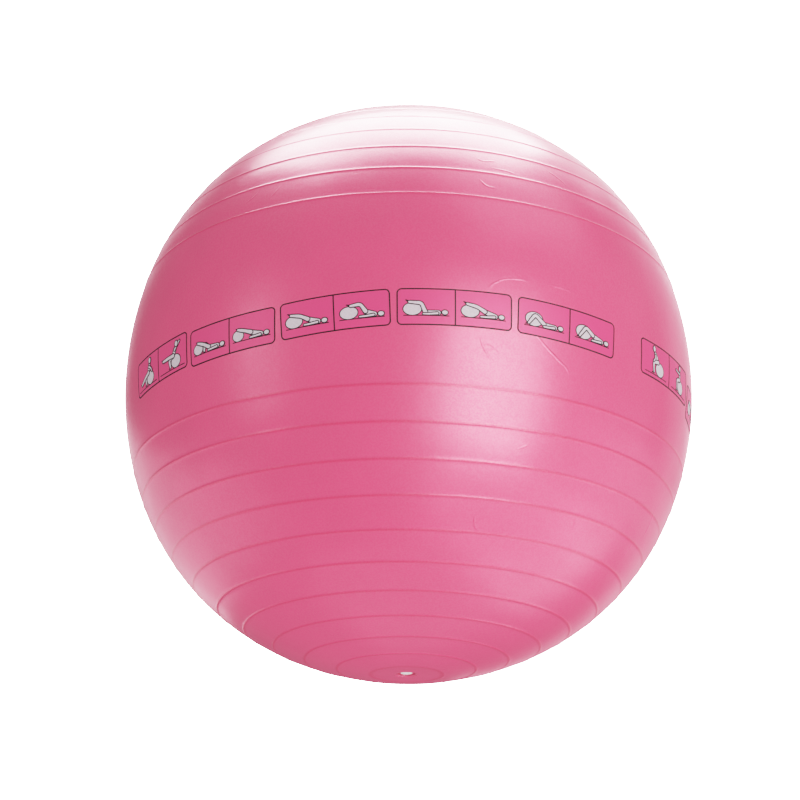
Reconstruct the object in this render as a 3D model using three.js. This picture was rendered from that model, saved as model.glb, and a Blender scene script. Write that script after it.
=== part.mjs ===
// A 65 cm exercise ball: a hollow moulded skin, the valve seat welded into its bottom pole, and the plug that
// pulls out of it. The origin is the middle of the flat on which the ball rests, and +Z is the valve's axis.
import * as THREE from "three";

// The skin. Lengths are millimetres. Latitudes are degrees, seen from the ball's centre.
const EQUATOR_RADIUS = 325;
const POLE_GAIN = 5.2; // how much further out the poles stand than the equator
const SHOULDER_GAIN = 5.5; // how much fuller the skin is at 45 degrees than those two would make it
const WALL = 0.9;
const UPPER_RIBS = { first: 18.7, pitch: 6.56, count: 11 };
const LOWER_RIBS = { first: 18.75, pitch: 6.43, count: 11 };
const BEAD = { halfWidth: 2.3, height: 0.5 }; // the raised line that runs along every rib
const BAND_CROWN = 0.2; // how far the bands between ribs bulge
const BELT_STEPS = 3; // straight lengths of the smooth belt on each side of the equator

// The valve, all turned about the same axis. Heights are above the resting flat.
const FIT_GAP = 0.3; // stands in for the weld between the seat and the skin
const HOLE_RADIUS = 12;
const RIM = { inner: 10.3, height: 0.6, chamfer: 0.3 };
const FLANGE = { radius: 24, edge: 1, root: 2, rootRadius: 12.6 };
const RECESS_FLOOR = 3;
const HOUSING = { radius: 11, top: 4.8 };
const NECK = { top: 24, rootHeight: 6, rootRadius: 7, tipRadius: 6.2 };
const BORE = { mouthRadius: 4.7, tipRadius: 4 };
const HEAD = { radius: 6.7, face: 1.2, underside: 2.8, chamfer: 0.4 };
const DIMPLE = { radius: 2.4, depth: 0.4 };
const STEM = { tip: 22, clearance: 0.3, chamfer: 0.6, hollowRadius: 1.8, hollowEnd: 6, hollowTip: 5.2 };
const SEAL_RINGS = { first: 7, pitch: 5, count: 3, width: 1.6, clearance: 0.08 };

const SEGMENTS = 40; // the same for every turned piece, so that neighbours keep an even gap

const PINK_SKIN = { color: "#d8668f", roughness: 0.42, metalness: 0 };
const SOFT_PINK = { color: "#c9547e", roughness: 0.5, metalness: 0 };
const MILKY_WHITE = { color: "#f1e9ea", roughness: 0.35, metalness: 0 };

const radians = (degrees) => (degrees * Math.PI) / 180;
const between = (a, b, share) => a + (b - a) * share;

/** Distance of the smooth skin from the ball's centre, fuller at the shoulders than a sphere. */
function skinRadius(latitude) {
  const angle = radians(latitude);
  return EQUATOR_RADIUS + POLE_GAIN * Math.sin(angle) ** 2 + SHOULDER_GAIN * Math.sin(2 * angle) ** 2;
}

const ribLatitude = (ribs, i) => ribs.first + ribs.pitch * i;
const FOOT_LATITUDE = -ribLatitude(LOWER_RIBS, LOWER_RIBS.count - 1); // the lowest rib rims the resting flat
const CAP_LATITUDE = between(ribLatitude(UPPER_RIBS, UPPER_RIBS.count - 1), 90, 0.5); // where the top cap bends
const CENTRE_HEIGHT = -skinRadius(FOOT_LATITUDE) * Math.sin(radians(FOOT_LATITUDE));

/** [radius, height] of the skin at a latitude, stood out by a small amount. */
function skinPoint(latitude, standOut = 0) {
  const distance = skinRadius(latitude) + standOut;
  return [distance * Math.cos(radians(latitude)), CENTRE_HEIGHT + distance * Math.sin(radians(latitude))];
}

/** One rib as [latitude, stand-out] stops: a plain line between two bands, or the bead that stands on it. */
function ribStops(latitude, beaded) {
  if (!beaded) return [[latitude, 0]];
  const foot = (BEAD.halfWidth / EQUATOR_RADIUS) * (180 / Math.PI);
  return [
    [latitude - foot, 0],
    [latitude, BEAD.height],
    [latitude + foot, 0],
  ];
}

/** The stops of one set of ribs from the belt to the last crown or rib before its pole. */
function bandStops(ribs, ribCount, beaded) {
  const stops = [];
  for (let i = 0; i < ribs.count; i++) {
    if (i < ribCount) stops.push(...ribStops(ribLatitude(ribs, i), beaded));
    if (i < ribs.count - 1) stops.push([ribLatitude(ribs, i + 0.5), BAND_CROWN]);
  }
  return stops;
}

/** The skin's stops from the top cap down to the last crown above the resting flat. */
function skinStops(beaded) {
  const upper = bandStops(UPPER_RIBS, UPPER_RIBS.count, beaded).reverse();
  const lower = bandStops(LOWER_RIBS, LOWER_RIBS.count - 1, beaded) // the last rib is the edge of the flat
    .map(([latitude, standOut]) => [-latitude, standOut]);
  const belt = [];
  for (let i = 1 - BELT_STEPS; i < BELT_STEPS; i++) {
    const edge = i < 0 ? UPPER_RIBS.first : LOWER_RIBS.first;
    belt.push([(-i * edge) / BELT_STEPS, 0]);
  }
  return [[CAP_LATITUDE, 0], ...upper, ...belt, ...lower];
}

/** A solid turned about +Z from [radius, height] points listed with the material on their left. */
function turned(profile) {
  const points = profile.map(([radius, height]) => new THREE.Vector2(radius, height));
  return new THREE.LatheGeometry(points, SEGMENTS).rotateX(Math.PI / 2);
}

function shellGeometry() {
  const [footRadius] = skinPoint(FOOT_LATITUDE);
  const outside = skinStops(true).map(([latitude, standOut]) => skinPoint(latitude, standOut));
  const inside = skinStops(false).map(([latitude, standOut]) => skinPoint(latitude, standOut - WALL));
  return turned([
    skinPoint(90, -WALL),
    ...inside,
    [footRadius, WALL],
    [HOLE_RADIUS, WALL],
    [HOLE_RADIUS, 0],
    [footRadius, 0],
    ...outside.reverse(),
    skinPoint(90),
  ]);
}

function seatGeometry() {
  const rimRadius = HOLE_RADIUS - FIT_GAP;
  const flangeUnderside = WALL + FIT_GAP;
  const { inner, height, chamfer } = RIM;
  const mouth = [BORE.mouthRadius, RECESS_FLOOR];
  return turned([
    mouth,
    [inner, RECESS_FLOOR],
    [inner, height + chamfer],
    [inner + chamfer, height],
    [rimRadius - chamfer, height],
    [rimRadius, height + chamfer],
    [rimRadius, flangeUnderside],
    [FLANGE.radius, flangeUnderside],
    [FLANGE.radius, flangeUnderside + FLANGE.edge],
    [FLANGE.rootRadius, flangeUnderside + FLANGE.root],
    [HOUSING.radius, HOUSING.top],
    [NECK.rootRadius + 0.5, HOUSING.top],
    [NECK.rootRadius, NECK.rootHeight],
    [NECK.tipRadius, NECK.top],
    [BORE.tipRadius, NECK.top],
    mouth,
  ]);
}

/** Radius of the tapered bore at a height. */
function boreRadius(height) {
  return between(BORE.mouthRadius, BORE.tipRadius, (height - RECESS_FLOOR) / (NECK.top - RECESS_FLOOR));
}

/** The plug's stem from its root to its tip: a taper with raised rings that seal against the bore. */
function stemPoints() {
  const { first, pitch, count, width, clearance } = SEAL_RINGS;
  const plain = (height) => [boreRadius(height) - STEM.clearance, height];
  const points = [plain(HEAD.underside)];
  for (let i = 0; i < count; i++) {
    const middle = first + pitch * i;
    const crest = [boreRadius(middle) - clearance, middle];
    points.push(plain(middle - width / 2), crest, plain(middle + width / 2));
  }
  const [tipRadius] = plain(STEM.tip);
  points.push(plain(STEM.tip - STEM.chamfer), [tipRadius - STEM.chamfer, STEM.tip]);
  return points;
}

function plugGeometry() {
  const { radius, face, underside, chamfer } = HEAD;
  return turned([
    [0, face + DIMPLE.depth],
    [DIMPLE.radius, face + DIMPLE.depth],
    [DIMPLE.radius + DIMPLE.depth, face],
    [radius - chamfer, face],
    [radius, face + chamfer],
    [radius, underside - chamfer],
    [radius - chamfer, underside],
    ...stemPoints(),
    [STEM.hollowRadius, STEM.tip],
    [STEM.hollowRadius, STEM.hollowEnd],
    [0, STEM.hollowTip],
  ]);
}

function piece(name, geometry, finish) {
  const mesh = new THREE.Mesh(geometry, new THREE.MeshStandardMaterial(finish));
  mesh.name = name;
  return mesh;
}

const ball = new THREE.Group();
ball.add(
  piece("ball_shell", shellGeometry(), PINK_SKIN),
  piece("valve_seat", seatGeometry(), SOFT_PINK),
  piece("valve_plug", plugGeometry(), MILKY_WHITE),
);

export default ball;
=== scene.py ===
"""A 65 cm exercise ball in pearly pink PVC, with ribs, a valve seat, a plug and a belt of printed exercises.

Lengths are metres. Latitudes and longitudes are degrees seen from the ball's centre. Longitude 0 is the front
(-Y), and longitude grows towards +X.
"""
import math

import bpy
import numpy as np
from mathutils import Matrix, Quaternion, Vector, noise


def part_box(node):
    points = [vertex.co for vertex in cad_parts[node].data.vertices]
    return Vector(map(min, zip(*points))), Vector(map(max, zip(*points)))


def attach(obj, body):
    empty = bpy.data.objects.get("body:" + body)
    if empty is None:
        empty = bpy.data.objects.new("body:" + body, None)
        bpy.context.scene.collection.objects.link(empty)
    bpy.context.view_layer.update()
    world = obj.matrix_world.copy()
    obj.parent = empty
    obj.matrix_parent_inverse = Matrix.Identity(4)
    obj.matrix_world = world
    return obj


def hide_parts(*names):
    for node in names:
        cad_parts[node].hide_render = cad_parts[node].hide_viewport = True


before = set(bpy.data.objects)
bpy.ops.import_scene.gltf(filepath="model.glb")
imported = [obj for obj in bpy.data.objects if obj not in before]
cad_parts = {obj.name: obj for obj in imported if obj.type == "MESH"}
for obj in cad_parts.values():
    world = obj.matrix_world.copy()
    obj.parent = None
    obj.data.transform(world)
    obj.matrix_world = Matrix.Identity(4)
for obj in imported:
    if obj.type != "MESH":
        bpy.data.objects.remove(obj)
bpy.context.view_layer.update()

# ---------------------------------------------------------------- the ball's shape

MM = 0.001
SHELL_LOW, SHELL_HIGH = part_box("ball_shell")
SEAT_LOW, SEAT_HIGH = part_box("valve_seat")
PLUG_LOW, PLUG_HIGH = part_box("valve_plug")

EQUATOR_RADIUS = (SHELL_HIGH.x - SHELL_LOW.x) / 2
POLE_GAIN = 5.2 * MM  # the poles stand this much further out than the equator
SHOULDER_GAIN = 5.5 * MM  # and the skin at 45 degrees this much, on top of half the pole's gain
CENTRE = Vector((0, 0, SHELL_HIGH.z - EQUATOR_RADIUS - POLE_GAIN))
WALL = 0.9 * MM
HOLE_RADIUS = 12 * MM

# One set of ribs each side of the belt. The lowest rib rims the flat on which the ball rests.
UPPER_RIBS = {"side": 1, "first": 18.7, "pitch": 6.56, "count": 11}
LOWER_RIBS = {"side": -1, "first": 18.75, "pitch": 6.43, "count": 11}
BEAD_HALF_WIDTH = 2.3 * MM
BEAD_HEIGHT = 0.5 * MM
BAND_CROWN = 0.2 * MM  # the bands bulge a little between ribs, because the thicker ribs stretch less

WAVE_HEIGHT = 0.35 * MM  # slow unevenness of an inflated skin
WAVE_LENGTH = 90 * MM


def skin_radius(latitude):
    """Distance of the smooth skin from the ball's centre."""
    angle = np.radians(latitude)
    return EQUATOR_RADIUS + POLE_GAIN * np.sin(angle) ** 2 + SHOULDER_GAIN * np.sin(2 * angle) ** 2


def rib_latitudes(ribs):
    return [ribs["side"] * (ribs["first"] + ribs["pitch"] * i) for i in range(ribs["count"])]


def band_relief(latitude, ribs):
    """How far the bands between this set's ribs bulge."""
    place = (ribs["side"] * latitude - ribs["first"]) / ribs["pitch"]
    share = place - np.floor(place)
    inside = (place >= 0) & (place <= ribs["count"] - 1)
    return np.where(inside, BAND_CROWN * 4 * share * (1 - share), 0)


def bead_share(latitude):
    """The thin bead that runs along every rib: 1 on its crest and 0 off it."""
    share = np.zeros_like(latitude)
    for rib in rib_latitudes(UPPER_RIBS) + rib_latitudes(LOWER_RIBS):
        away = np.radians(latitude - rib) * EQUATOR_RADIUS / BEAD_HALF_WIDTH
        share += np.where(np.abs(away) < 1, np.cos(away * math.pi / 2) ** 2, 0)
    return share


def relief(latitude):
    bands = band_relief(latitude, UPPER_RIBS) + band_relief(latitude, LOWER_RIBS)
    return bands + BEAD_HEIGHT * bead_share(latitude)


def waves(directions):
    """Slow unevenness, one value per unit direction from the centre."""
    scale = EQUATOR_RADIUS / WAVE_LENGTH
    return np.array([noise.noise(Vector(d) * scale) for d in directions]) * WAVE_HEIGHT


def skin_points(latitude, longitude, height=0.0):
    """Points on the skin, raised by a height, for arrays of latitudes and longitudes."""
    latitude, longitude = np.broadcast_arrays(np.asarray(latitude, float), np.asarray(longitude, float))
    lat, lon = np.radians(latitude.ravel()), np.radians(longitude.ravel())
    directions = np.stack([np.cos(lat) * np.sin(lon), -np.cos(lat) * np.cos(lon), np.sin(lat)], -1)
    distance = skin_radius(latitude.ravel()) + relief(latitude.ravel()) + waves(directions) + height
    return directions * distance[:, None] + np.array(CENTRE)


# ---------------------------------------------------------------- mesh helpers


def mesh_object(name, vertices, faces, material, smooth=True):
    mesh = bpy.data.meshes.new(name)
    mesh.from_pydata([tuple(v) for v in vertices], [], faces)
    mesh.polygons.foreach_set("use_smooth", [smooth] * len(mesh.polygons))
    mesh.materials.append(material)
    mesh.update()
    made = bpy.data.objects.new(name, mesh)
    bpy.context.scene.collection.objects.link(made)
    return made


def ring_faces(rings, segments):
    """Quads and pole triangles between rings, given as (first vertex, is it a pole)."""
    faces = []
    for (a, a_pole), (b, b_pole) in zip(rings, rings[1:]):
        for i in range(segments):
            j = (i + 1) % segments
            if a_pole:
                faces.append((a, b + j, b + i))
            elif b_pole:
                faces.append((a + i, a + j, b))
            else:
                faces.append((a + i, a + j, b + j, b + i))
    return faces


def turned(name, profile, segments, material):
    """A body turned about +Z from (radius, height) points, listed with the material on their left.

    The profile starts and ends on the axis, or ends where it starts."""
    closed = profile[0] == profile[-1]
    angles = np.arange(segments) * 2 * math.pi / segments
    vertices, rings = [], []
    for radius, height in profile[:-1] if closed else profile:
        pole = radius < 1e-9
        rings.append((len(vertices), pole))
        for angle in angles[:1] if pole else angles:
            vertices.append((radius * math.sin(angle), -radius * math.cos(angle), height))
    if closed:
        rings.append(rings[0])
    return mesh_object(name, vertices, ring_faces(rings, segments), material)


EDGE_SHARE = 1 / 2.2  # most of an edge's length that the rounding of one of its corners may take up


def rounded(profile, radius, steps=4):
    """The profile with an arc in place of each corner that isn't on the axis."""
    points = [Vector(p) for p in profile]
    closed = profile[0] == profile[-1]
    if closed:
        points = points[:-1]
    result = []
    for i, corner in enumerate(points):
        last, after = points[i - 1], points[(i + 1) % len(points)]
        if not closed and i in (0, len(points) - 1):
            result.append(tuple(corner))
            continue
        reach = min(radius, (last - corner).length * EDGE_SHARE, (after - corner).length * EDGE_SHARE)
        start = corner + (last - corner).normalized() * reach
        end = corner + (after - corner).normalized() * reach
        for k in range(steps + 1):
            t = k / steps
            result.append(tuple(start * (1 - t) ** 2 + corner * 2 * t * (1 - t) + end * t**2))
    if closed:
        result.append(result[0])
    return result


# ---------------------------------------------------------------- materials


def new_material(name, **inputs):
    """A Principled material, its node tree, and its shader with these inputs set."""
    material = bpy.data.materials.new(name)
    material.use_nodes = True
    tree = material.node_tree
    shader = tree.nodes["Principled BSDF"]
    for key, value in inputs.items():
        shader.inputs[key.replace("_", " ")].default_value = value
    return material, tree, shader


def noise_node(tree, size, detail=2.0):
    """Noise with features of about this size, in object space."""
    place = tree.nodes.new("ShaderNodeTexCoord")
    made = tree.nodes.new("ShaderNodeTexNoise")
    made.inputs["Scale"].default_value = 1 / size
    made.inputs["Detail"].default_value = detail
    tree.links.new(place.outputs["Object"], made.inputs["Vector"])
    return made.outputs["Fac"]


NOISE_RANGE = (0.3, 0.7)  # nearly all of a noise's values lie in here


def remap(tree, value, low, high):
    """A noise value spread from low to high."""
    made = tree.nodes.new("ShaderNodeMapRange")
    made.inputs["From Min"].default_value, made.inputs["From Max"].default_value = NOISE_RANGE
    made.inputs["To Min"].default_value = low
    made.inputs["To Max"].default_value = high
    tree.links.new(value, made.inputs["Value"])
    return made.outputs["Result"]


def colour_between(tree, value, first, second):
    """A mix of two colours by a node's value. Each is an (r, g, b) or another node's colour."""
    made = tree.nodes.new("ShaderNodeMix")
    made.data_type = "RGBA"
    sockets = {socket.identifier: socket for socket in (*made.inputs, *made.outputs)}
    for identifier, colour in (("A_Color", first), ("B_Color", second)):
        if isinstance(colour, tuple):
            sockets[identifier].default_value = (*colour, 1)
        else:
            tree.links.new(colour, sockets[identifier])
    tree.links.new(value, sockets["Factor_Float"])
    return sockets["Result_Color"]


def bump(tree, height, distance, below=None):
    made = tree.nodes.new("ShaderNodeBump")
    made.inputs["Distance"].default_value = distance
    tree.links.new(height, made.inputs["Height"])
    if below is not None:
        tree.links.new(below, made.inputs["Normal"])
    return made.outputs["Normal"]


CLOUD_SIZE = 60 * MM
PVC_ROUGHNESS_SPREAD = 0.03
GRAIN_SIZE = 1.7 * MM
GRAIN_GLOSS = (0.38, 0.62)
GRAIN_HEIGHT = 0.02 * MM
RIPPLE_SIZE = 9 * MM
RIPPLE_HEIGHT = 0.12 * MM
PLAIN_ROUGHNESS_SPREAD = 0.06


def pvc_material(name, light, dark, rib_shade, roughness):
    """Satin PVC with a faint cloudy tint and a fine moulded grain that sparkles in a highlight.

    It is painted a deeper colour along each rib's bead, where the mesh's bead attribute says, as painted
    shade for the bead's steep flanks."""
    material, tree, shader = new_material(name, IOR=1.5)
    cloudy = noise_node(tree, CLOUD_SIZE)
    cloud = remap(tree, cloudy, 0, 1)
    bead = tree.nodes.new("ShaderNodeAttribute")
    bead.attribute_name = "bead"
    thin = colour_between(tree, cloud, light, dark)
    # painted shade: the colour is darkened along each rib's bead, by the bead attribute
    tint = colour_between(tree, bead.outputs["Fac"], thin, rib_shade)
    tree.links.new(tint, shader.inputs["Base Color"])
    uneven = remap(tree, cloudy, roughness - PVC_ROUGHNESS_SPREAD, roughness + PVC_ROUGHNESS_SPREAD)
    tree.links.new(uneven, shader.inputs["Roughness"])
    grain = noise_node(tree, GRAIN_SIZE, detail=0)
    tree.links.new(remap(tree, grain, *GRAIN_GLOSS), shader.inputs["Specular IOR Level"])
    ripples = bump(tree, noise_node(tree, RIPPLE_SIZE), RIPPLE_HEIGHT)
    tree.links.new(bump(tree, grain, GRAIN_HEIGHT, below=ripples), shader.inputs["Normal"])
    return material


def plain_material(name, first, second, roughness, gloss=0.5, grain_size=2 * MM):
    """Ink or smooth plastic, with a little mottling in its colour and gloss."""
    material, tree, shader = new_material(name, IOR=1.5, Specular_IOR_Level=gloss)
    grain = noise_node(tree, grain_size)
    tint = colour_between(tree, remap(tree, grain, 0, 1), first, second)
    tree.links.new(tint, shader.inputs["Base Color"])
    uneven = remap(tree, grain, roughness - PLAIN_ROUGHNESS_SPREAD, roughness + PLAIN_ROUGHNESS_SPREAD)
    tree.links.new(uneven, shader.inputs["Roughness"])
    return material


SKIN = pvc_material(
    "skin_pvc",
    light=(0.82, 0.098, 0.235),
    dark=(0.78, 0.088, 0.22),
    # the last colour is painted shade along the ribs' beads
    rib_shade=(0.74, 0.055, 0.165),
    roughness=0.32,
)
SEAT = pvc_material(
    "seat_pvc",
    light=(0.70, 0.10, 0.21),
    dark=(0.64, 0.085, 0.18),
    rib_shade=(0.6, 0.06, 0.15),
    roughness=0.35,
)
PLUG = plain_material("plug_plastic", (0.88, 0.83, 0.84), (0.8, 0.74, 0.76), 0.38)
DARK_INK = plain_material("dark_ink", (0.02, 0.004, 0.009), (0.04, 0.008, 0.018), 0.5, gloss=0.15)
PALE_INK = plain_material("pale_ink", (0.66, 0.58, 0.62), (0.6, 0.52, 0.56), 0.5, gloss=0.2)
GROUND_INK = plain_material("ground_ink", (0.8, 0.08, 0.24), (0.77, 0.075, 0.225), 0.4, gloss=0.3)

# ---------------------------------------------------------------- the skin

SEGMENTS = 256
BEAD_STEPS = (-1.1, -0.7, -0.35, 0, 0.35, 0.7, 1.1)  # shares of the bead's half width
BAND_STEPS = 7
BELT_STEPS = 32
CAP_STEPS = 12
INSIDE_SKIP = 6  # the plain inside has one ring for this many of the outside's


def skin_latitudes():
    """Latitudes of the skin's rings, from below the top pole down to the lowest rib, and the lowest rib's."""
    bead = [math.degrees(step * BEAD_HALF_WIDTH / EQUATOR_RADIUS) for step in BEAD_STEPS]
    ribs = sorted(rib_latitudes(UPPER_RIBS) + rib_latitudes(LOWER_RIBS), reverse=True)
    top, foot = ribs[0], ribs[-1]
    stops = [90 - (90 - top) * i / CAP_STEPS for i in range(1, CAP_STEPS)]
    for rib, following in zip(ribs, ribs[1:] + [None]):
        stops += [rib - step for step in bead if following is not None or step <= 0]
        if following is None:
            break
        steps = BELT_STEPS if rib > 0 > following else BAND_STEPS
        stops += [rib + (following - rib) * i / steps for i in range(1, steps)]
    return np.array(sorted(set(stops), reverse=True)), foot


def flat_rings(foot, longitudes):
    """The flat foot's rings: from its edge in to the valve's hole, and back out on the inside of the skin."""
    edge = skin_radius(foot) * math.cos(math.radians(foot)) - 2 * BEAD_HALF_WIDTH
    profile = [
        (edge, 0),
        (HOLE_RADIUS + 2 * WALL, 0),
        (HOLE_RADIUS + WALL / 2, 0),
        (HOLE_RADIUS, WALL / 2),
        (HOLE_RADIUS, WALL),
        (edge, WALL),
    ]
    around = np.radians(longitudes)
    circle = np.stack([np.sin(around), -np.cos(around), 0 * around], -1)
    return [circle * radius + np.array([0, 0, height]) for radius, height in profile]


def skin_shell():
    """The hollow skin: the ribbed outside, the flat foot with the valve's hole, and the plain inside."""
    latitudes, foot = skin_latitudes()
    longitudes = np.arange(SEGMENTS) * 360 / SEGMENTS
    outside = skin_points(latitudes[:, None], longitudes[None, :])
    outside[:, 2] = np.maximum(outside[:, 2], 0)
    outside_count = len(outside)
    inside_latitudes = latitudes[::-INSIDE_SKIP]
    inside = skin_points(inside_latitudes[:, None], longitudes[None, :], -WALL)
    inside[:, 2] = np.maximum(inside[:, 2], WALL)
    flat = flat_rings(foot, longitudes)
    top = skin_points([90], [0])
    under_top = skin_points([90], [0], -WALL)
    vertices = np.concatenate([top, outside, *flat, inside, under_top])
    ring_count = len(latitudes) + len(flat) + len(inside_latitudes)
    rings = [(0, True)] + [(1 + SEGMENTS * i, False) for i in range(ring_count)]
    rings.append((len(vertices) - 1, True))
    made = mesh_object("skin", vertices, ring_faces(rings[::-1], SEGMENTS), SKIN)
    # painted shade: the bead attribute darkens the skin's colour along each rib's bead
    bead = np.zeros(len(vertices))
    bead[1 : 1 + outside_count] = np.repeat(bead_share(latitudes), SEGMENTS)
    made.data.attributes.new("bead", "FLOAT", "POINT").data.foreach_set("value", bead)
    return made


skin = skin_shell()
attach(skin, "ball")
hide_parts("ball_shell")

# ---------------------------------------------------------------- the valve

VALVE_SEGMENTS = 96
VALVE_ROUNDING = 0.5 * MM
WELD = 0.15 * MM  # how far the seat's rim reaches into the skin that it is welded to
RIM_INNER = 10.3 * MM
RECESS_FLOOR = 3 * MM
RAISED_RING = (7.4 * MM, 8.8 * MM, 0.35 * MM)  # inner and outer radius and height of the ring in the recess
BORE_MOUTH = 4.7 * MM
BORE_TIP = 4 * MM
FLANGE_EDGE = 1 * MM
HOUSING_RADIUS = 11 * MM
HOUSING_TOP = 4.8 * MM
NECK_ROOT = 7 * MM
NECK_TIP = 6.2 * MM
HEAD_THICKNESS = 1.6 * MM
HEAD_CHAMFER = 0.6 * MM
DIMPLE_DEPTH = 0.5 * MM
DIMPLE_RADIUS = 2.8 * MM
STEM_CLEARANCE = 0.3 * MM
SEAL_HEIGHTS = (7 * MM, 12 * MM, 17 * MM)
SEAL_CLEARANCE = 0.08 * MM
SEAL_HALF_WIDTH = 0.8 * MM
HOLLOW_RADIUS = 1.8 * MM
HOLLOW_END = 6 * MM


def valve_seat():
    """The welded grommet: rim, recess with a raised ring, flange inside the skin and tapered neck."""
    rim = SEAT_LOW.z
    flange_underside = WALL * 1.1
    ring_inner, ring_outer, ring_height = RAISED_RING
    profile = [
        (BORE_MOUTH, RECESS_FLOOR),
        (ring_inner, RECESS_FLOOR),
        (ring_inner, RECESS_FLOOR - ring_height),
        (ring_outer, RECESS_FLOOR - ring_height),
        (ring_outer, RECESS_FLOOR),
        (RIM_INNER, RECESS_FLOOR),
        (RIM_INNER, rim),
        (HOLE_RADIUS + WELD, rim),
        (HOLE_RADIUS + WELD, flange_underside),
        (SEAT_HIGH.x, flange_underside),
        (SEAT_HIGH.x, flange_underside + FLANGE_EDGE),
        (HOUSING_RADIUS, HOUSING_TOP - FLANGE_EDGE),
        (HOUSING_RADIUS, HOUSING_TOP),
        (NECK_ROOT, HOUSING_TOP),
        (NECK_TIP, SEAT_HIGH.z),
        (BORE_TIP, SEAT_HIGH.z),
        (BORE_MOUTH, RECESS_FLOOR),
    ]
    return turned("seat", rounded(profile, VALVE_ROUNDING), VALVE_SEGMENTS, SEAT)


def valve_plug():
    """The stopper: a dimpled head, and a hollow stem with three seal rings."""
    face, tip, head = PLUG_LOW.z, PLUG_HIGH.z, PLUG_HIGH.x
    underside = face + HEAD_THICKNESS

    def bore(height):
        share = (height - RECESS_FLOOR) / (SEAT_HIGH.z - RECESS_FLOOR)
        return BORE_MOUTH + (BORE_TIP - BORE_MOUTH) * share

    profile = [
        (0, face + DIMPLE_DEPTH),
        (0.6 * DIMPLE_RADIUS, face + 0.8 * DIMPLE_DEPTH),
        (DIMPLE_RADIUS, face),
        (head - HEAD_CHAMFER, face),
        (head, face + HEAD_CHAMFER),
        (head, underside),
        (bore(underside) - STEM_CLEARANCE, underside),
    ]
    for height in SEAL_HEIGHTS:
        profile += [
            (bore(height) - STEM_CLEARANCE, height - SEAL_HALF_WIDTH),
            (bore(height) - SEAL_CLEARANCE, height - SEAL_HALF_WIDTH / 3),
            (bore(height) - SEAL_CLEARANCE, height + SEAL_HALF_WIDTH / 3),
            (bore(height) - STEM_CLEARANCE, height + SEAL_HALF_WIDTH),
        ]
    profile += [
        (bore(tip) - STEM_CLEARANCE, tip),
        (HOLLOW_RADIUS, tip),
        (HOLLOW_RADIUS, HOLLOW_END),
        (0, HOLLOW_END),
    ]
    return turned("plug", rounded(profile, VALVE_ROUNDING), VALVE_SEGMENTS, PLUG)


seat = valve_seat()
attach(seat, "ball")
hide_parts("valve_seat")

plug = valve_plug()
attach(plug, "plug")
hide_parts("valve_plug")

# ---------------------------------------------------------------- the printed belt

# Panels print in groups round the belt. The ring they lie on is tipped a little, lowest at the back.
RING_LATITUDE = -8.46
RING_TIP = 3.3
RING_HIGH_SIDE = 4.0  # longitude at which the ring is highest
RING_STRETCH = 3.5  # degrees of longitude by which the skin has stretched the print towards its right side
PANEL_GROUPS = 3
PANELS_IN_GROUP = 5
PANEL_LENGTH = 20.4  # these three are degrees of longitude before the stretch
PANEL_GAP = 1.3
GROUP_GAP = 7.8
FIRST_PANEL = -67.2  # longitude of the first panel's left edge before the stretch
SLIP_SEED = 3
SLIP_RAISE = 2  # most of a hidden panel's slip, in millimetres and degrees
SLIP_TILT = 1
FRONT_PANEL_SLIPS = [(1.4, -0.8), (-3.7, -0.7), (-1.4, 2.4), (1.8, 0.6), (1.7, -0.6), (5, 2.6)]
PANEL_HEIGHT = 37.6 * MM
PANEL_CORNER = 4.5 * MM
FRAME_LINE = 1.3 * MM
OUTLINE = 0.9 * MM
DETAIL_LINE = 0.9 * MM

INK_UNDERSIDE = -0.05 * MM  # every ink film is a closed body that reaches a little into the skin
GROUND_TOP = 0.07 * MM
FRAME_TOP = 0.13 * MM
FIGURE_BASE = 0.16 * MM
ROUND_END = (0.08, 0.5, 0.95, 1.35)  # angles from a round end's tip to its side, in radians
INK_LAYER = 0.03 * MM


class Film:
    """Thin closed bodies that lie on the skin, gathered into one mesh."""

    def __init__(self):
        self.vertices, self.faces = [], []

    def add_sheet(self, rows, top, place, loop=False):
        """A closed film over a grid of (x, y) rows, laid on the skin by place(x, y, height).

        The top is one height or one for each point. With loop set, the last row joins the first."""
        across = len(rows[0])
        flat = np.array(rows).reshape(-1, 2)
        base = len(self.vertices)
        self.vertices.extend(place(flat[:, 0], flat[:, 1], top))
        self.vertices.extend(place(flat[:, 0], flat[:, 1], INK_UNDERSIDE))
        under = len(flat)
        count = len(rows)
        for i in range(count if loop else count - 1):
            a, b = base + i * across, base + (i + 1) % count * across
            for j in range(across - 1):
                self.faces.append((a + j, b + j, b + j + 1, a + j + 1))
                self.faces.append((under + a + j + 1, under + b + j + 1, under + b + j, under + a + j))
            last = across - 1
            self.faces.append((a, under + a, under + b, b))
            self.faces.append((a + last, b + last, under + b + last, under + a + last))
        if not loop:
            for a, step in ((base, 1), (base + (count - 1) * across, -1)):
                for j in range(across - 1):
                    face = (a + j, a + j + 1, under + a + j + 1, under + a + j)
                    self.faces.append(face[::step])

    def build(self, name, material, slot, smooth=False):
        made = mesh_object(name, self.vertices, self.faces, material, smooth)
        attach(made, "ball")


def ring_latitude(longitude):
    return RING_LATITUDE + RING_TIP * np.cos(np.radians(longitude - RING_HIGH_SIDE))


def stretched(longitude):
    return longitude + RING_STRETCH * (1 - math.cos(math.radians(longitude)))


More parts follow.
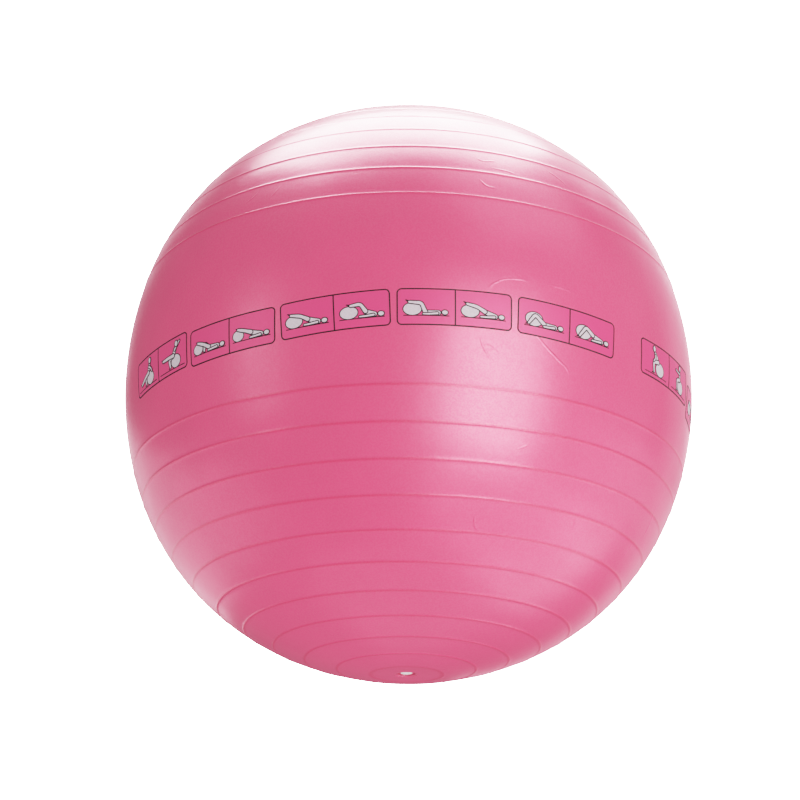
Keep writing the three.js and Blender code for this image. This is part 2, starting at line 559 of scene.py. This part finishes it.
def panel_place(middle_longitude, slip):
    """Lays (x, y) metres of a panel's own plane on the skin, round a middle longitude on the ring.

    The slip is how far the print landed off the ring: a raise in millimetres and a tilt in degrees."""
    across = EQUATOR_RADIUS * math.cos(math.radians(ring_latitude(middle_longitude)))
    raised, tilt = slip[0] * MM, math.radians(slip[1])

    def place(x, y, height):
        along = np.asarray(x) * math.cos(tilt) - np.asarray(y) * math.sin(tilt)
        up = np.asarray(x) * math.sin(tilt) + np.asarray(y) * math.cos(tilt) + raised
        longitude = middle_longitude + np.degrees(along / across)
        latitude = ring_latitude(longitude) + np.degrees(up / EQUATOR_RADIUS)
        return skin_points(latitude, longitude, height)

    return place


def panel_spans():
    """The longitudes of every panel's two ends."""
    spans = []
    start = FIRST_PANEL
    for _ in range(PANEL_GROUPS):
        for _ in range(PANELS_IN_GROUP):
            spans.append((stretched(start), stretched(start + PANEL_LENGTH)))
            start += PANEL_LENGTH + PANEL_GAP
        start += GROUP_GAP - PANEL_GAP
    return spans


def panel_slips():
    """Every panel's slip: the front ones as they show, and the rest at random."""
    scatter = np.random.default_rng(SLIP_SEED)
    count = PANEL_GROUPS * PANELS_IN_GROUP - len(FRONT_PANEL_SLIPS)
    limits = np.array([SLIP_RAISE, SLIP_TILT])
    return FRONT_PANEL_SLIPS + [tuple(scatter.uniform(-limits, limits)) for _ in range(count)]


def rounded_rectangle(half_length, half_height, corner, step=5 * MM, corner_steps=6):
    """Points round a rounded rectangle, with outward directions, anticlockwise from its lower right."""
    points = []
    for quarter, (sx, sy) in enumerate(((1, -1), (1, 1), (-1, 1), (-1, -1))):
        middle = Vector((sx * (half_length - corner), sy * (half_height - corner)))
        for i in range(corner_steps + 1):
            angle = math.pi / 2 * (quarter - 1 + i / corner_steps)
            outward = Vector((math.cos(angle), math.sin(angle)))
            points.append((middle + outward * corner, outward))
    filled = []
    for (point, outward), (following, _) in zip(points, points[1:] + points[:1]):
        pieces = max(1, math.ceil((following - point).length / step))
        filled += [(point.lerp(following, k / pieces), outward) for k in range(pieces)]
    return filled


HALF_ROWS = 4  # steps from a panel's middle line to its top


def ground_rows(half_length, half_height, corner, step=5 * MM, corner_steps=6):
    """Columns of a rounded rectangle from left to right, each a row of points from bottom to top."""
    turns = [math.pi / 2 * i / corner_steps for i in range(corner_steps + 1)]
    corner_places = [half_length - corner * (1 - math.sin(turn)) for turn in turns]
    count = math.ceil(2 * (half_length - corner) / step)
    middle_places = [(half_length - corner) * (2 * i / count - 1) for i in range(1, count)]
    rows = []
    for x in [-v for v in reversed(corner_places)] + middle_places + corner_places:
        into = max(0, abs(x) - (half_length - corner))
        top = half_height - corner + math.sqrt(max(0, corner**2 - into**2))
        rows.append([(x, top * k / HALF_ROWS) for k in range(-HALF_ROWS, HALF_ROWS + 1)])
    return rows


def stroke_rows(stations):
    """Two-point rows across a path, from (point, half width) stations."""
    points = [Vector(p) for p, _ in stations]
    rows = []
    for i, (_, half) in enumerate(stations):
        along = (points[min(i + 1, len(points) - 1)] - points[max(i - 1, 0)]).normalized()
        side = Vector((-along.y, along.x)) * half
        rows.append([tuple(points[i] - side), tuple(points[i] + side)])
    return rows


OVAL_TRIM = 0.02  # share of the half turn left out at each end of an oval


def oval(centre, half_length, half_height, grow=0.0, steps=14):
    """Stations along an oval's length, that stroke_rows turns into the oval."""
    stations = []
    for i in range(steps + 1):
        angle = math.pi * (OVAL_TRIM + (1 - 2 * OVAL_TRIM) * i / steps)
        x = -math.cos(angle) * (half_length + grow)
        stations.append(((centre[0] + x, centre[1]), math.sin(angle) * (half_height + grow)))
    return stations


def limb(points, halves, grow=0.0):
    """Stations along a limb with round ends and rounded joints, with a half width at each point."""
    path, widths = bent_path([Vector(p) for p in points], halves)
    back = (path[0] - path[1]).normalized()
    ahead = (path[-1] - path[-2]).normalized()
    first, last = widths[0] + grow, widths[-1] + grow
    start = [(path[0] + back * first * math.cos(a), first * math.sin(a)) for a in ROUND_END]
    end = [(path[-1] + ahead * last * math.cos(a), last * math.sin(a)) for a in reversed(ROUND_END)]
    return start + [(point, width + grow) for point, width in zip(path, widths)] + end


JOINT_REACH = 1.7  # how far from a joint its curve starts, in half widths


def bent_path(points, halves, steps=4):
    """The points with a short curve at each joint, and the half widths along them."""
    path, widths = [points[0]], [halves[0]]
    for i in range(1, len(points) - 1):
        last, joint, after = points[i - 1 : i + 2]
        reach = min(JOINT_REACH * halves[i], (last - joint).length / 2, (after - joint).length / 2)
        start = joint + (last - joint).normalized() * reach
        end = joint + (after - joint).normalized() * reach
        for k in range(steps + 1):
            t = k / steps
            path.append(start * (1 - t) ** 2 + joint * 2 * t * (1 - t) + end * t**2)
            widths.append(halves[i])
    return path + [points[-1]], widths + [halves[-1]]


# Exercises are shown by plain faceless figures of our own. Places are millimetres from the middle of the
# ground line. An oval is (x, y, half length, half height), and a limb is a list of joints.
TORSO = (2, 2.2)
LEG = (2, 1.6, 1.1)
SHOE = (1.2, 0.5)
ARM = (1.1, 0.9, 0.7)
LOW_GROUND = -9.0
SEAT_GROUND = -14.0
SITTING_HEAD = 22  # a head above this height belongs to someone who sits
GROUND_LINE_DROP = 0.4
GROUND_LINE_REACH = 23

EXERCISES = {
    "calf_rest": {
        "ball": (-14, 6.3, 9, 6.3),
        "torso": [(-1, 2.7), (12, 2.6)],
        "head": (18.5, 3.1, 2.9, 2.2),
        "leg": [(-1, 3), (-5, 12.6), (-17, 13.6), (-20.5, 15.8)],
        "arm": [(11, 2), (3, 1.3), (-3, 1.2)],
    },
    "bridge": {
        "ball": (-14, 6.3, 9, 6.3),
        "torso": [(1, 6.6), (12, 2.8)],
        "head": (18.5, 2.7, 2.9, 2.2),
        "leg": [(1, 6.8), (-7, 11.4), (-17, 13.6), (-20.5, 15.8)],
        "arm": [(11, 2), (3, 1.3), (-3, 1.2)],
    },
    "leg_curl": {
        "ball": (-13, 6.3, 9, 6.3),
        "torso": [(4, 6), (13, 2.8)],
        "head": (19.5, 2.7, 2.9, 2.2),
        "leg": [(4, 6.4), (-1, 14.4), (-11, 13.4), (-15, 15)],
        "arm": [(12, 2), (4, 1.3), (-2, 1.2)],
    },
    "leg_raise": {
        "ball": (-14, 6.3, 9, 6.3),
        "torso": [(-1, 2.7), (12, 2.6)],
        "head": (18.5, 3.1, 2.9, 2.2),
        "far_leg": [(-1, 3), (-8, 12), (-18, 13.4), (-21, 15)],
        "leg": [(-1, 3), (-4, 11), (-8, 19), (-9, 22.4)],
        "arm": [(11, 2), (3, 1.3), (-3, 1.2)],
    },
    "squeeze": {
        "ball": (-12, 7.2, 9.5, 7.2),
        "torso": [(-1, 3.4), (12, 2.6)],
        "head": (18.5, 3.1, 2.9, 2.2),
        "leg": [(-1, 3.8), (-11, 12), (-18, 2.4), (-21.5, 1)],
        "arm": [(11, 2), (4, 1.4), (-1, 1.2)],
    },
    "squeeze_lift": {
        "ball": (-12, 7.2, 9.5, 7.2),
        "torso": [(0, 6.4), (12, 2.8)],
        "head": (18.5, 2.9, 2.9, 2.2),
        "leg": [(0, 6.6), (-9, 13), (-17, 2.4), (-20.5, 1)],
        "arm": [(11, 2), (4, 1.4), (-1, 1.2)],
    },
    "sit": {
        "ball": (7, 7.2, 8.5, 7.2),
        "torso": [(3, 14.6), (-2.5, 22)],
        "head": (-5, 27.4, 2.3, 3),
        "leg": [(3, 14.6), (-6.5, 12.8), (-5.5, 2.6), (-9.2, 1)],
        "arm": [(-2.5, 21), (-3.5, 17), (-6.5, 14)],
    },
    "sit_reach": {
        "ball": (5, 7.2, 8.5, 7.2),
        "torso": [(2.5, 15), (2.5, 22)],
        "head": (2, 27.6, 2.3, 3),
        "leg": [(2, 15), (-7, 12.6), (-6, 2.6), (-9.6, 1)],
        "arm": [(2, 21.5), (-4, 22), (-10, 23)],
    },
    "sit_kick": {
        "ball": (8, 6.8, 8, 6.8),
        "torso": [(4, 13.6), (6, 20.5)],
        "head": (7.5, 26, 2.3, 3),
        "far_leg": [(4, 13.4), (-4, 10.5), (-2, 2.6), (-5, 1)],
        "leg": [(4, 13.4), (-5, 10), (-14, 5.6), (-17, 6.6)],
        "arm": [(5.5, 19.6), (10, 17), (12.5, 13)],
    },
    "sit_kick_high": {
        "ball": (8, 6.8, 8, 6.8),
        "torso": [(4, 13.6), (7, 20)],
        "head": (9.5, 25.2, 2.3, 3),
        "far_leg": [(4, 13.4), (-4, 10.5), (-2, 2.6), (-5, 1)],
        "leg": [(4, 13.4), (-6, 13.4), (-16, 13), (-18.6, 15)],
        "arm": [(6.5, 19), (11, 23), (15, 27)],
    },
    "heels": {
        "ball": (-16, 5.6, 6.6, 5.6),
        "torso": [(0, 4), (12, 2.8)],
        "head": (18.5, 2.9, 2.9, 2.2),
        "far_leg": [(0, 4), (-6, 9.6), (-7, 2), (-9.5, 1)],
        "leg": [(0, 4.4), (-8, 9), (-16, 12), (-18.5, 13.4)],
        "arm": [(11, 2), (4, 1.4), (-1, 1.2)],
    },
    "heels_high": {
        "ball": (-16, 5.6, 6.6, 5.6),
        "torso": [(0, 6.4), (12, 2.8)],
        "head": (18.5, 2.9, 2.9, 2.2),
        "leg": [(0, 6.6), (-8, 9.6), (-16, 12), (-18.5, 13.4)],
        "arm": [(11, 2), (4, 1.4), (-1, 1.2)],
    },
    "plank": {
        "ball": (-13, 6, 8, 6),
        "torso": [(-1, 12), (11, 11.6)],
        "head": (16.6, 12.6, 3.2, 2.4),
        "leg": [(-1, 12), (-8, 13), (-17, 13), (-19.4, 11)],
        "arm": [(11, 10.6), (11.4, 6), (11.6, 1)],
    },
    "tuck": {
        "ball": (-8, 6, 8, 6),
        "torso": [(3, 14.6), (11, 11.4)],
        "head": (16.6, 11.6, 3.2, 2.4),
        "leg": [(3, 14.4), (3.4, 8), (-6, 12.8), (-9, 13.6)],
        "arm": [(11, 10.6), (11.4, 6), (11.6, 1)],
    },
    "arch": {
        "ball": (-1, 6.6, 9, 6.6),
        "torso": [(-5, 13.4), (7, 13.8)],
        "head": (12.5, 11.2, 2.9, 2.5),
        "leg": [(-5, 13.2), (-13, 11.8), (-14, 3), (-17, 1)],
        "arm": [(7, 13.4), (12, 8), (15.4, 4)],
    },
    "crunch": {
        "ball": (-1, 6.6, 9, 6.6),
        "torso": [(-5, 13.4), (5, 18)],
        "head": (9.4, 20.6, 2.9, 2.5),
        "leg": [(-5, 13.2), (-13, 11.8), (-14, 3), (-17, 1)],
        "arm": [(5, 17.4), (0, 18), (-5, 17)],
    },
    "kneel": {
        "ball": (-12, 6.6, 8, 6.6),
        "torso": [(9, 10.6), (-1, 14)],
        "head": (-5, 18, 2.9, 2.5),
        "leg": [(9, 10.4), (8, 1.8), (16, 1.6), (18.6, 1.2)],
        "arm": [(-0.6, 13.6), (-6, 13.8), (-11, 13.8)],
    },
    "roll_out": {
        "ball": (-15, 6.6, 8, 6.6),
        "torso": [(6, 7.6), (-4, 12.6)],
        "head": (-8.6, 16.2, 2.9, 2.5),
        "leg": [(6, 7.4), (8, 1.8), (16, 1.6), (18.6, 1.2)],
        "arm": [(-4, 12), (-10, 13.6), (-15, 14)],
    },
    "lean": {
        "ball": (-8, 7, 8.5, 7),
        "torso": [(2, 9), (-5, 15.4)],
        "head": (-9.4, 19.4, 2.9, 2.5),
        "leg": [(2, 8.6), (10, 4.6), (17, 1.6), (19.4, 2.4)],
        "arm": [(-5, 15), (-11, 13), (-14, 8)],
    },
    "lean_lift": {
        "ball": (-8, 7, 8.5, 7),
        "torso": [(2, 9), (-5, 15.4)],
        "head": (-9.4, 19.4, 2.9, 2.5),
        "far_leg": [(2, 8.6), (10, 4.6), (17, 1.6), (19.4, 2.4)],
        "leg": [(2, 9), (10, 12), (18, 15), (20.4, 17)],
        "arm": [(-5, 15), (-4, 21), (-1, 25)],
    },
}
# The two stages on each panel. The photographed side shows the first group and the start of the second.
FIRST_GROUP = [("sit_kick", "sit_kick_high"), ("heels", "heels_high"), ("bridge", "leg_curl"),
               ("calf_rest", "bridge"), ("squeeze", "squeeze_lift")]
SECOND_GROUP = [("sit", "sit_reach"), ("plank", "tuck"), ("arch", "crunch"), ("kneel", "roll_out"),
                ("lean", "lean_lift")]
THIRD_GROUP = [("leg_raise", "calf_rest"), ("roll_out", "kneel"), ("tuck", "plank"), ("crunch", "arch"),
               ("sit_reach", "sit")]
PANEL_EXERCISES = FIRST_GROUP + SECOND_GROUP + THIRD_GROUP


def figure_shapes(exercise, ground):
    """An exercise's shapes from the back one to the front one: (stations at a given growth, is it filled)."""

    def place(points):
        return [(x * MM, (y + ground) * MM) for x, y in points]

    def oval_shape(x, y, half_length, half_height):
        return lambda grow: oval(place([(x, y)])[0], half_length * MM, half_height * MM, grow), True

    def limb_shape(points, halves, filled=True):
        scaled = [half * MM for half in halves]
        return lambda grow: limb(place(points), scaled, grow), filled

    shapes = [oval_shape(*exercise["ball"])]
    for part in ("far_leg", "torso", "leg", "arm"):
        if part not in exercise:
            continue
        points = exercise[part]
        if part.endswith("leg"):
            shapes.append(limb_shape(points[2:], SHOE, filled=False))
        shapes.append(limb_shape(points[:3], {"torso": TORSO, "arm": ARM}.get(part, LEG)))
    return shapes + [oval_shape(*exercise["head"])]


def draw_exercise(dark, pale, name, middle, place):
    """One figure with its ball and ground line, centred on a place along the panel."""
    exercise = EXERCISES[name]
    ground = SEAT_GROUND if exercise["head"][1] > SITTING_HEAD else LOW_GROUND

    def shifted(x, y, height):
        return place(np.asarray(x) + middle, y, height)

    line_height = (ground - GROUND_LINE_DROP) * MM
    line_places = range(-GROUND_LINE_REACH, GROUND_LINE_REACH + 1, 2)
    line = [((x * MM, line_height), DETAIL_LINE / 2) for x in line_places]
    dark.add_sheet(stroke_rows(line), FRAME_TOP, shifted)
    for layer, (shape, filled) in enumerate(figure_shapes(exercise, ground)):
        top = FIGURE_BASE + 2 * layer * INK_LAYER
        dark.add_sheet(stroke_rows(shape(OUTLINE if filled else 0)), top, shifted)
        if filled:
            pale.add_sheet(stroke_rows(shape(0)), top + INK_LAYER, shifted)


def print_belt():
    """Every panel: a rosy ground, a dark frame with a divider, and two stages of one exercise."""
    ground, dark, pale = Film(), Film(), Film()
    half_height = PANEL_HEIGHT / 2
    for (start, end), slip, names in zip(panel_spans(), panel_slips(), PANEL_EXERCISES):
        middle = (start + end) / 2
        across = EQUATOR_RADIUS * math.cos(math.radians(ring_latitude(middle)))
        half_length = math.radians(end - start) / 2 * across
        place = panel_place(middle, slip)
        ground.add_sheet(ground_rows(half_length, half_height, PANEL_CORNER), GROUND_TOP, place)
        edge = rounded_rectangle(half_length, half_height, PANEL_CORNER)
        frame_rows = [[tuple(p - n * FRAME_LINE / 2), tuple(p + n * FRAME_LINE / 2)] for p, n in edge]
        dark.add_sheet(frame_rows, FRAME_TOP, place, loop=True)
        heights = [half_height * k / HALF_ROWS for k in range(-HALF_ROWS, HALF_ROWS + 1)]
        divider = [((0, height), FRAME_LINE / 2) for height in heights]
        dark.add_sheet(stroke_rows(divider), FRAME_TOP, place)
        for side, name in zip((-1, 1), names):
            draw_exercise(dark, pale, name, side * half_length / 2, place)
    ground.build("print_ground", GROUND_INK, "skin")
    dark.build("print_dark", DARK_INK, "print_line")
    pale.build("print_pale", PALE_INK, "print_fill")


print_belt()

# ---------------------------------------------------------------- fold lines

# Faint raised lines that the skin keeps from its packaging: a height, and (longitude, latitude) points.
FOLD_HALF_WIDTH = 1.7 * MM
FOLD_STEP = 1.2 * MM
FOLD_TAPER = 0.35  # share of a fold's length over which each end fades
FOLD_ACROSS = 8
FOLD_BEND = 3 * MM  # how tight its curves may be
FOLD_EDGE = 0.04 * MM  # how far a fold's edges lie under the skin, so that it rises out of it smoothly
FOLDS = [
    (0.28 * MM, [(22, -6.8), (25.2, -9.8), (28, -11.8), (30.5, -13.2), (31.3, -15.6)]),
    (0.24 * MM, [(12.5, -8.8), (13.2, -11.2), (14.4, -13.2), (16, -14.8)]),
    (0.2 * MM, [(13.2, -11), (14.8, -11.4), (16.4, -12.6)]),
    (0.24 * MM, [(13.6, -1.7), (14.8, 0.2), (17, 1.5), (20.2, 2), (23.2, 1.8)]),
    (0.2 * MM, [(25.2, 2), (28.8, 1.8), (32.8, 1.2)]),
    (0.3 * MM, [(16.2, -40.2), (15.5, -42), (16.2, -43.6), (18.2, -44.2)]),
    (0.3 * MM, [(69.2, -30.2), (70.8, -33.5), (71.5, -36.8)]),
    (0.3 * MM, [(67.8, -38.4), (67.5, -41.5)]),
    (0.2 * MM, [(41.5, -38.4), (42.2, -40.8)]),
    (0.22 * MM, [(21.8, -28.8), (24.5, -27.6)]),
    (0.26 * MM, [(13.5, 29.6), (15.2, 28.4), (18.5, 29.2)]),
    (0.26 * MM, [(13.5, 23.6), (15, 21.5), (17.8, 21.3)]),
    (0.24 * MM, [(16, 27), (20.8, 26.6), (22.8, 25.8)]),
    (0.22 * MM, [(30, 30.4), (33.2, 28.4), (35, 26.4)]),
    (0.22 * MM, [(-26.5, 24.6), (-27.4, 22.8), (-29, 20.8)]),
    (0.2 * MM, [(-31.8, 24.4), (-32.8, 22.8), (-35.2, 21.2)]),
]
BACK_FOLDS = 14  # more of the same where the photographed side doesn't show
BACK_FOLD_SEED = 5
BACK_FOLD_HEIGHT = 0.16 * MM
BACK_FOLD_LONGITUDES = (95, 265)
BACK_FOLD_LATITUDES = (20, 50)  # on either side of the belt
BACK_FOLD_POINTS = 4
BACK_FOLD_STRIDE = (2.4, 1.4)  # degrees of longitude and of latitude between its points, at most
BACK_FOLD_TURN = 0.7


def back_folds():
    """Short fold lines scattered over the far side, clear of the printed panels."""
    scatter = np.random.default_rng(BACK_FOLD_SEED)
    folds = []
    for _ in range(BACK_FOLDS):
        longitude = scatter.uniform(*BACK_FOLD_LONGITUDES)
        latitude = scatter.choice((-1, 1)) * scatter.uniform(*BACK_FOLD_LATITUDES)
        heading = scatter.uniform(0, math.pi)
        points = []
        for _ in range(BACK_FOLD_POINTS):
            points.append((longitude, latitude))
            longitude += BACK_FOLD_STRIDE[0] * math.cos(heading)
            latitude += BACK_FOLD_STRIDE[1] * math.sin(heading)
            heading += scatter.uniform(-BACK_FOLD_TURN, BACK_FOLD_TURN)
        folds.append((BACK_FOLD_HEIGHT, points))
    return folds


def add_fold(film, height, points):
    """One fold: a smooth ridge that tapers to nothing at its ends."""
    longitude, latitude = points[0]
    across = EQUATOR_RADIUS * math.cos(math.radians(latitude))

    def place(x, y, raised):
        return skin_points(latitude + np.degrees(np.asarray(y) / EQUATOR_RADIUS),
                           longitude + np.degrees(np.asarray(x) / across), raised)

    line = []
    for lon, lat in points:
        east, north = math.radians(lon - longitude), math.radians(lat - latitude)
        line.append(Vector((east * across, north * EQUATOR_RADIUS)))
    path, _ = bent_path(line, [FOLD_BEND] * len(line))
    even = resampled(path, FOLD_STEP)
    rows, tops = [], []
    shares = [k / FOLD_ACROSS for k in range(FOLD_ACROSS + 1)]
    for i, (left, right) in enumerate(stroke_rows([(point, FOLD_HALF_WIDTH) for point in even])):
        to_end = min(i, len(even) - 1 - i) / (len(even) - 1)
        taper = math.sin(math.pi / 2 * min(1, to_end / FOLD_TAPER)) ** 2
        rows.append([tuple(Vector(left).lerp(Vector(right), share)) for share in shares])
        tops += [height * taper * math.sin(math.pi * share) ** 2 - FOLD_EDGE for share in shares]
    film.add_sheet(rows, np.array(tops), place)


def resampled(path, step):
    """Points at even steps along a path."""
    result = [path[0]]
    for point, following in zip(path, path[1:]):
        pieces = math.ceil((following - point).length / step)
        result += [point.lerp(following, (k + 1) / pieces) for k in range(pieces)]
    return result


folds = Film()
for fold_height, fold_points in FOLDS + back_folds():
    add_fold(folds, fold_height, fold_points)
folds.build("fold_lines", SKIN, "skin", smooth=True)

# ---------------------------------------------------------------- camera, lights and stage

CAMERA_DISTANCE = 6.764 * EQUATOR_RADIUS
CAMERA_ELEVATION = -20.76
CAMERA_ROLL = 0.4
CAMERA_LENS = 85.3
CAMERA_SHIFT = (-0.0106, -0.0058)

LOOK_UP = math.radians(-CAMERA_ELEVATION)
FORWARD = Vector((0, math.cos(LOOK_UP), math.sin(LOOK_UP)))
UP = Vector((0, -math.sin(LOOK_UP), math.cos(LOOK_UP)))
RIGHT = Vector((1, 0, 0))


def add_camera():
    data = bpy.data.cameras.new("camera")
    data.lens = CAMERA_LENS
    data.shift_x, data.shift_y = CAMERA_SHIFT
    camera = bpy.data.objects.new("camera", data)
    axes = Matrix((RIGHT, UP, -FORWARD)).transposed()
    camera.matrix_world = (
        Matrix.Translation(CENTRE - FORWARD * CAMERA_DISTANCE)
        @ axes.to_4x4()
        @ Matrix.Rotation(math.radians(CAMERA_ROLL), 4, "Z")
    )
    bpy.context.scene.collection.objects.link(camera)
    bpy.context.scene.camera = camera


def add_softbox(name, azimuth, elevation, size, power, shows_in, turn=0.0, distance=2.0):
    """A softbox facing the ball. Its angles are seen from the ball: azimuth 0 is the camera's side and 90 the
    camera's right, and elevation is above the camera's axis.

    One that shows in "gloss" only is seen in highlights, and one in "fill" only lights the colour.
    A turn below 0 lowers the end that has the higher azimuth."""
    data = bpy.data.lights.new(name, "AREA")
    data.shape = "RECTANGLE"
    data.size, data.size_y = size
    data.energy = power
    light = bpy.data.objects.new(name, data)
    around, above = math.radians(azimuth), math.radians(elevation)
    towards = RIGHT * math.sin(around) * math.cos(above) - FORWARD * math.cos(around) * math.cos(above)
    towards += UP * math.sin(above)
    light.location = CENTRE + towards * distance
    light.rotation_mode = "QUATERNION"
    facing = (-towards).to_track_quat("-Z", "Y")
    light.rotation_quaternion = facing @ Quaternion((0, 0, 1), math.radians(turn))
    light.visible_camera = False
    light.visible_diffuse = shows_in != "gloss"
    light.visible_glossy = shows_in != "fill"
    bpy.context.scene.collection.objects.link(light)


def by_ray(tree, ray, otherwise, strength):
    """A strength for one kind of ray, and another strength or node's value for the rest."""
    path = tree.nodes.new("ShaderNodeLightPath")
    choice = tree.nodes.new("ShaderNodeMix")
    tree.links.new(path.outputs[ray], choice.inputs["Factor"])
    choice.inputs["B"].default_value = strength
    if isinstance(otherwise, float):
        choice.inputs["A"].default_value = otherwise
    else:
        tree.links.new(otherwise, choice.inputs["A"])
    return choice.outputs["Result"]


def add_world(to_camera, to_colour, to_gloss):
    """A white room, at one strength behind the ball, one lighting its colour and one in its reflections."""
    world = bpy.data.worlds.new("studio")
    world.use_nodes = True
    tree = world.node_tree
    background = tree.nodes["Background"]
    background.inputs["Color"].default_value = (1, 1, 1, 1)
    on_ball = by_ray(tree, "Is Glossy Ray", to_colour, to_gloss)
    tree.links.new(by_ray(tree, "Is Camera Ray", on_ball, to_camera), background.inputs["Strength"])
    bpy.context.scene.world = world


def add_film_curve(straight=0.4, white=4.0, points=16):
    """A tone curve that is straight in the darks and eases the highlights into white, as a camera's does."""
    view = bpy.context.scene.view_settings
    view.view_transform = "Standard"
    view.use_curve_mapping = True
    mapping = view.curve_mapping
    mapping.white_level = (white, white, white)
    curve = mapping.curves[3]
    for i in range(1, points):
        light = white * (i / points) ** 2
        shown = light
        if light > straight:
            shown = 1 - (1 - straight) * math.exp((straight - light) / (1 - straight))
        curve.points.new(light / white, shown)
    mapping.update()


FLOOR_RADIUS = 60.0
FLOOR_SEGMENTS = 96
FLOOR_GLOW = 1.6
FLOOR_PALE = (1.0, 1.0, 1.0)
FLOOR_SHADE = (0.3, 0.14, 0.19)  # painted shadow, pinkish as from the ball's bounce light, where the ball hides all of the room from the floor


def add_floor():
    """A pale glowing floor with a painted soft shadow round the ball's foot, from ambient occlusion, the same
    under any lights.

    It shows only from above, because the camera looks up at the ball."""
    material, tree, shader = new_material(
        "floor", Base_Color=(0, 0, 0, 1), Specular_IOR_Level=0, Emission_Strength=FLOOR_GLOW
    )
    # painted shadow: ambient occlusion darkens the glowing floor towards FLOOR_SHADE near the ball
    room = tree.nodes.new("ShaderNodeAmbientOcclusion")
    tint = colour_between(tree, room.outputs["AO"], FLOOR_SHADE, FLOOR_PALE)
    tree.links.new(tint, shader.inputs["Emission Color"])
    clear = tree.nodes.new("ShaderNodeBsdfTransparent")
    side = tree.nodes.new("ShaderNodeNewGeometry")
    mix = tree.nodes.new("ShaderNodeMixShader")
    tree.links.new(side.outputs["Backfacing"], mix.inputs["Fac"])
    tree.links.new(shader.outputs["BSDF"], mix.inputs[1])
    tree.links.new(clear.outputs["BSDF"], mix.inputs[2])
    tree.links.new(mix.outputs["Shader"], tree.nodes["Material Output"].inputs["Surface"])
    turns = [2 * math.pi * i / FLOOR_SEGMENTS for i in range(FLOOR_SEGMENTS)]
    edge = [(FLOOR_RADIUS * math.cos(turn), FLOOR_RADIUS * math.sin(turn), -MM) for turn in turns]
    floor = mesh_object("floor", edge, [tuple(range(FLOOR_SEGMENTS))], material, smooth=False)
    floor.visible_diffuse = False
    floor.visible_glossy = False
    floor.visible_shadow = False


add_camera()
add_softbox("overhead", -176, 64, size=(2.0, 1.4), power=107, shows_in="gloss", turn=-12)
add_softbox("ceiling_right", 84, 62, size=(1.4, 1.2), power=13, shows_in="gloss")
add_softbox("back_right", 143, 42, size=(0.9, 0.6), power=2.2, shows_in="gloss")
add_softbox("strip", 31, 9, size=(1.3, 1.9), power=80, shows_in="gloss")
add_softbox("far_left", -58, 15, size=(0.5, 1.2), power=7, shows_in="gloss")
add_softbox("right", 80, 6, size=(1.9, 2.8), power=12, shows_in="gloss")
add_softbox("right_side", 150, 3, size=(2.4, 3.0), power=20, shows_in="gloss")
add_softbox("right_low", 84, -24, size=(1.8, 1.4), power=11, shows_in="gloss")
add_softbox("low_right", 52, -42, size=(3.5, 1.4), power=40, shows_in="gloss")
add_softbox("low_left", -112, -28, size=(3.8, 1.2), power=19, shows_in="gloss", turn=-32)
add_softbox("backdrop", 180, 12, size=(2.6, 1.4), power=12, shows_in="gloss")
add_softbox("below", 20, -75, size=(2.0, 2.0), power=8, shows_in="gloss")
add_softbox("fill", 30, 0, size=(2.5, 2.5), power=18, shows_in="fill")
add_softbox("fill_below", 0, -80, size=(2.5, 2.5), power=9, shows_in="fill")
add_world(to_camera=8.0, to_colour=0.81, to_gloss=0.17)
add_floor()
add_film_curve()
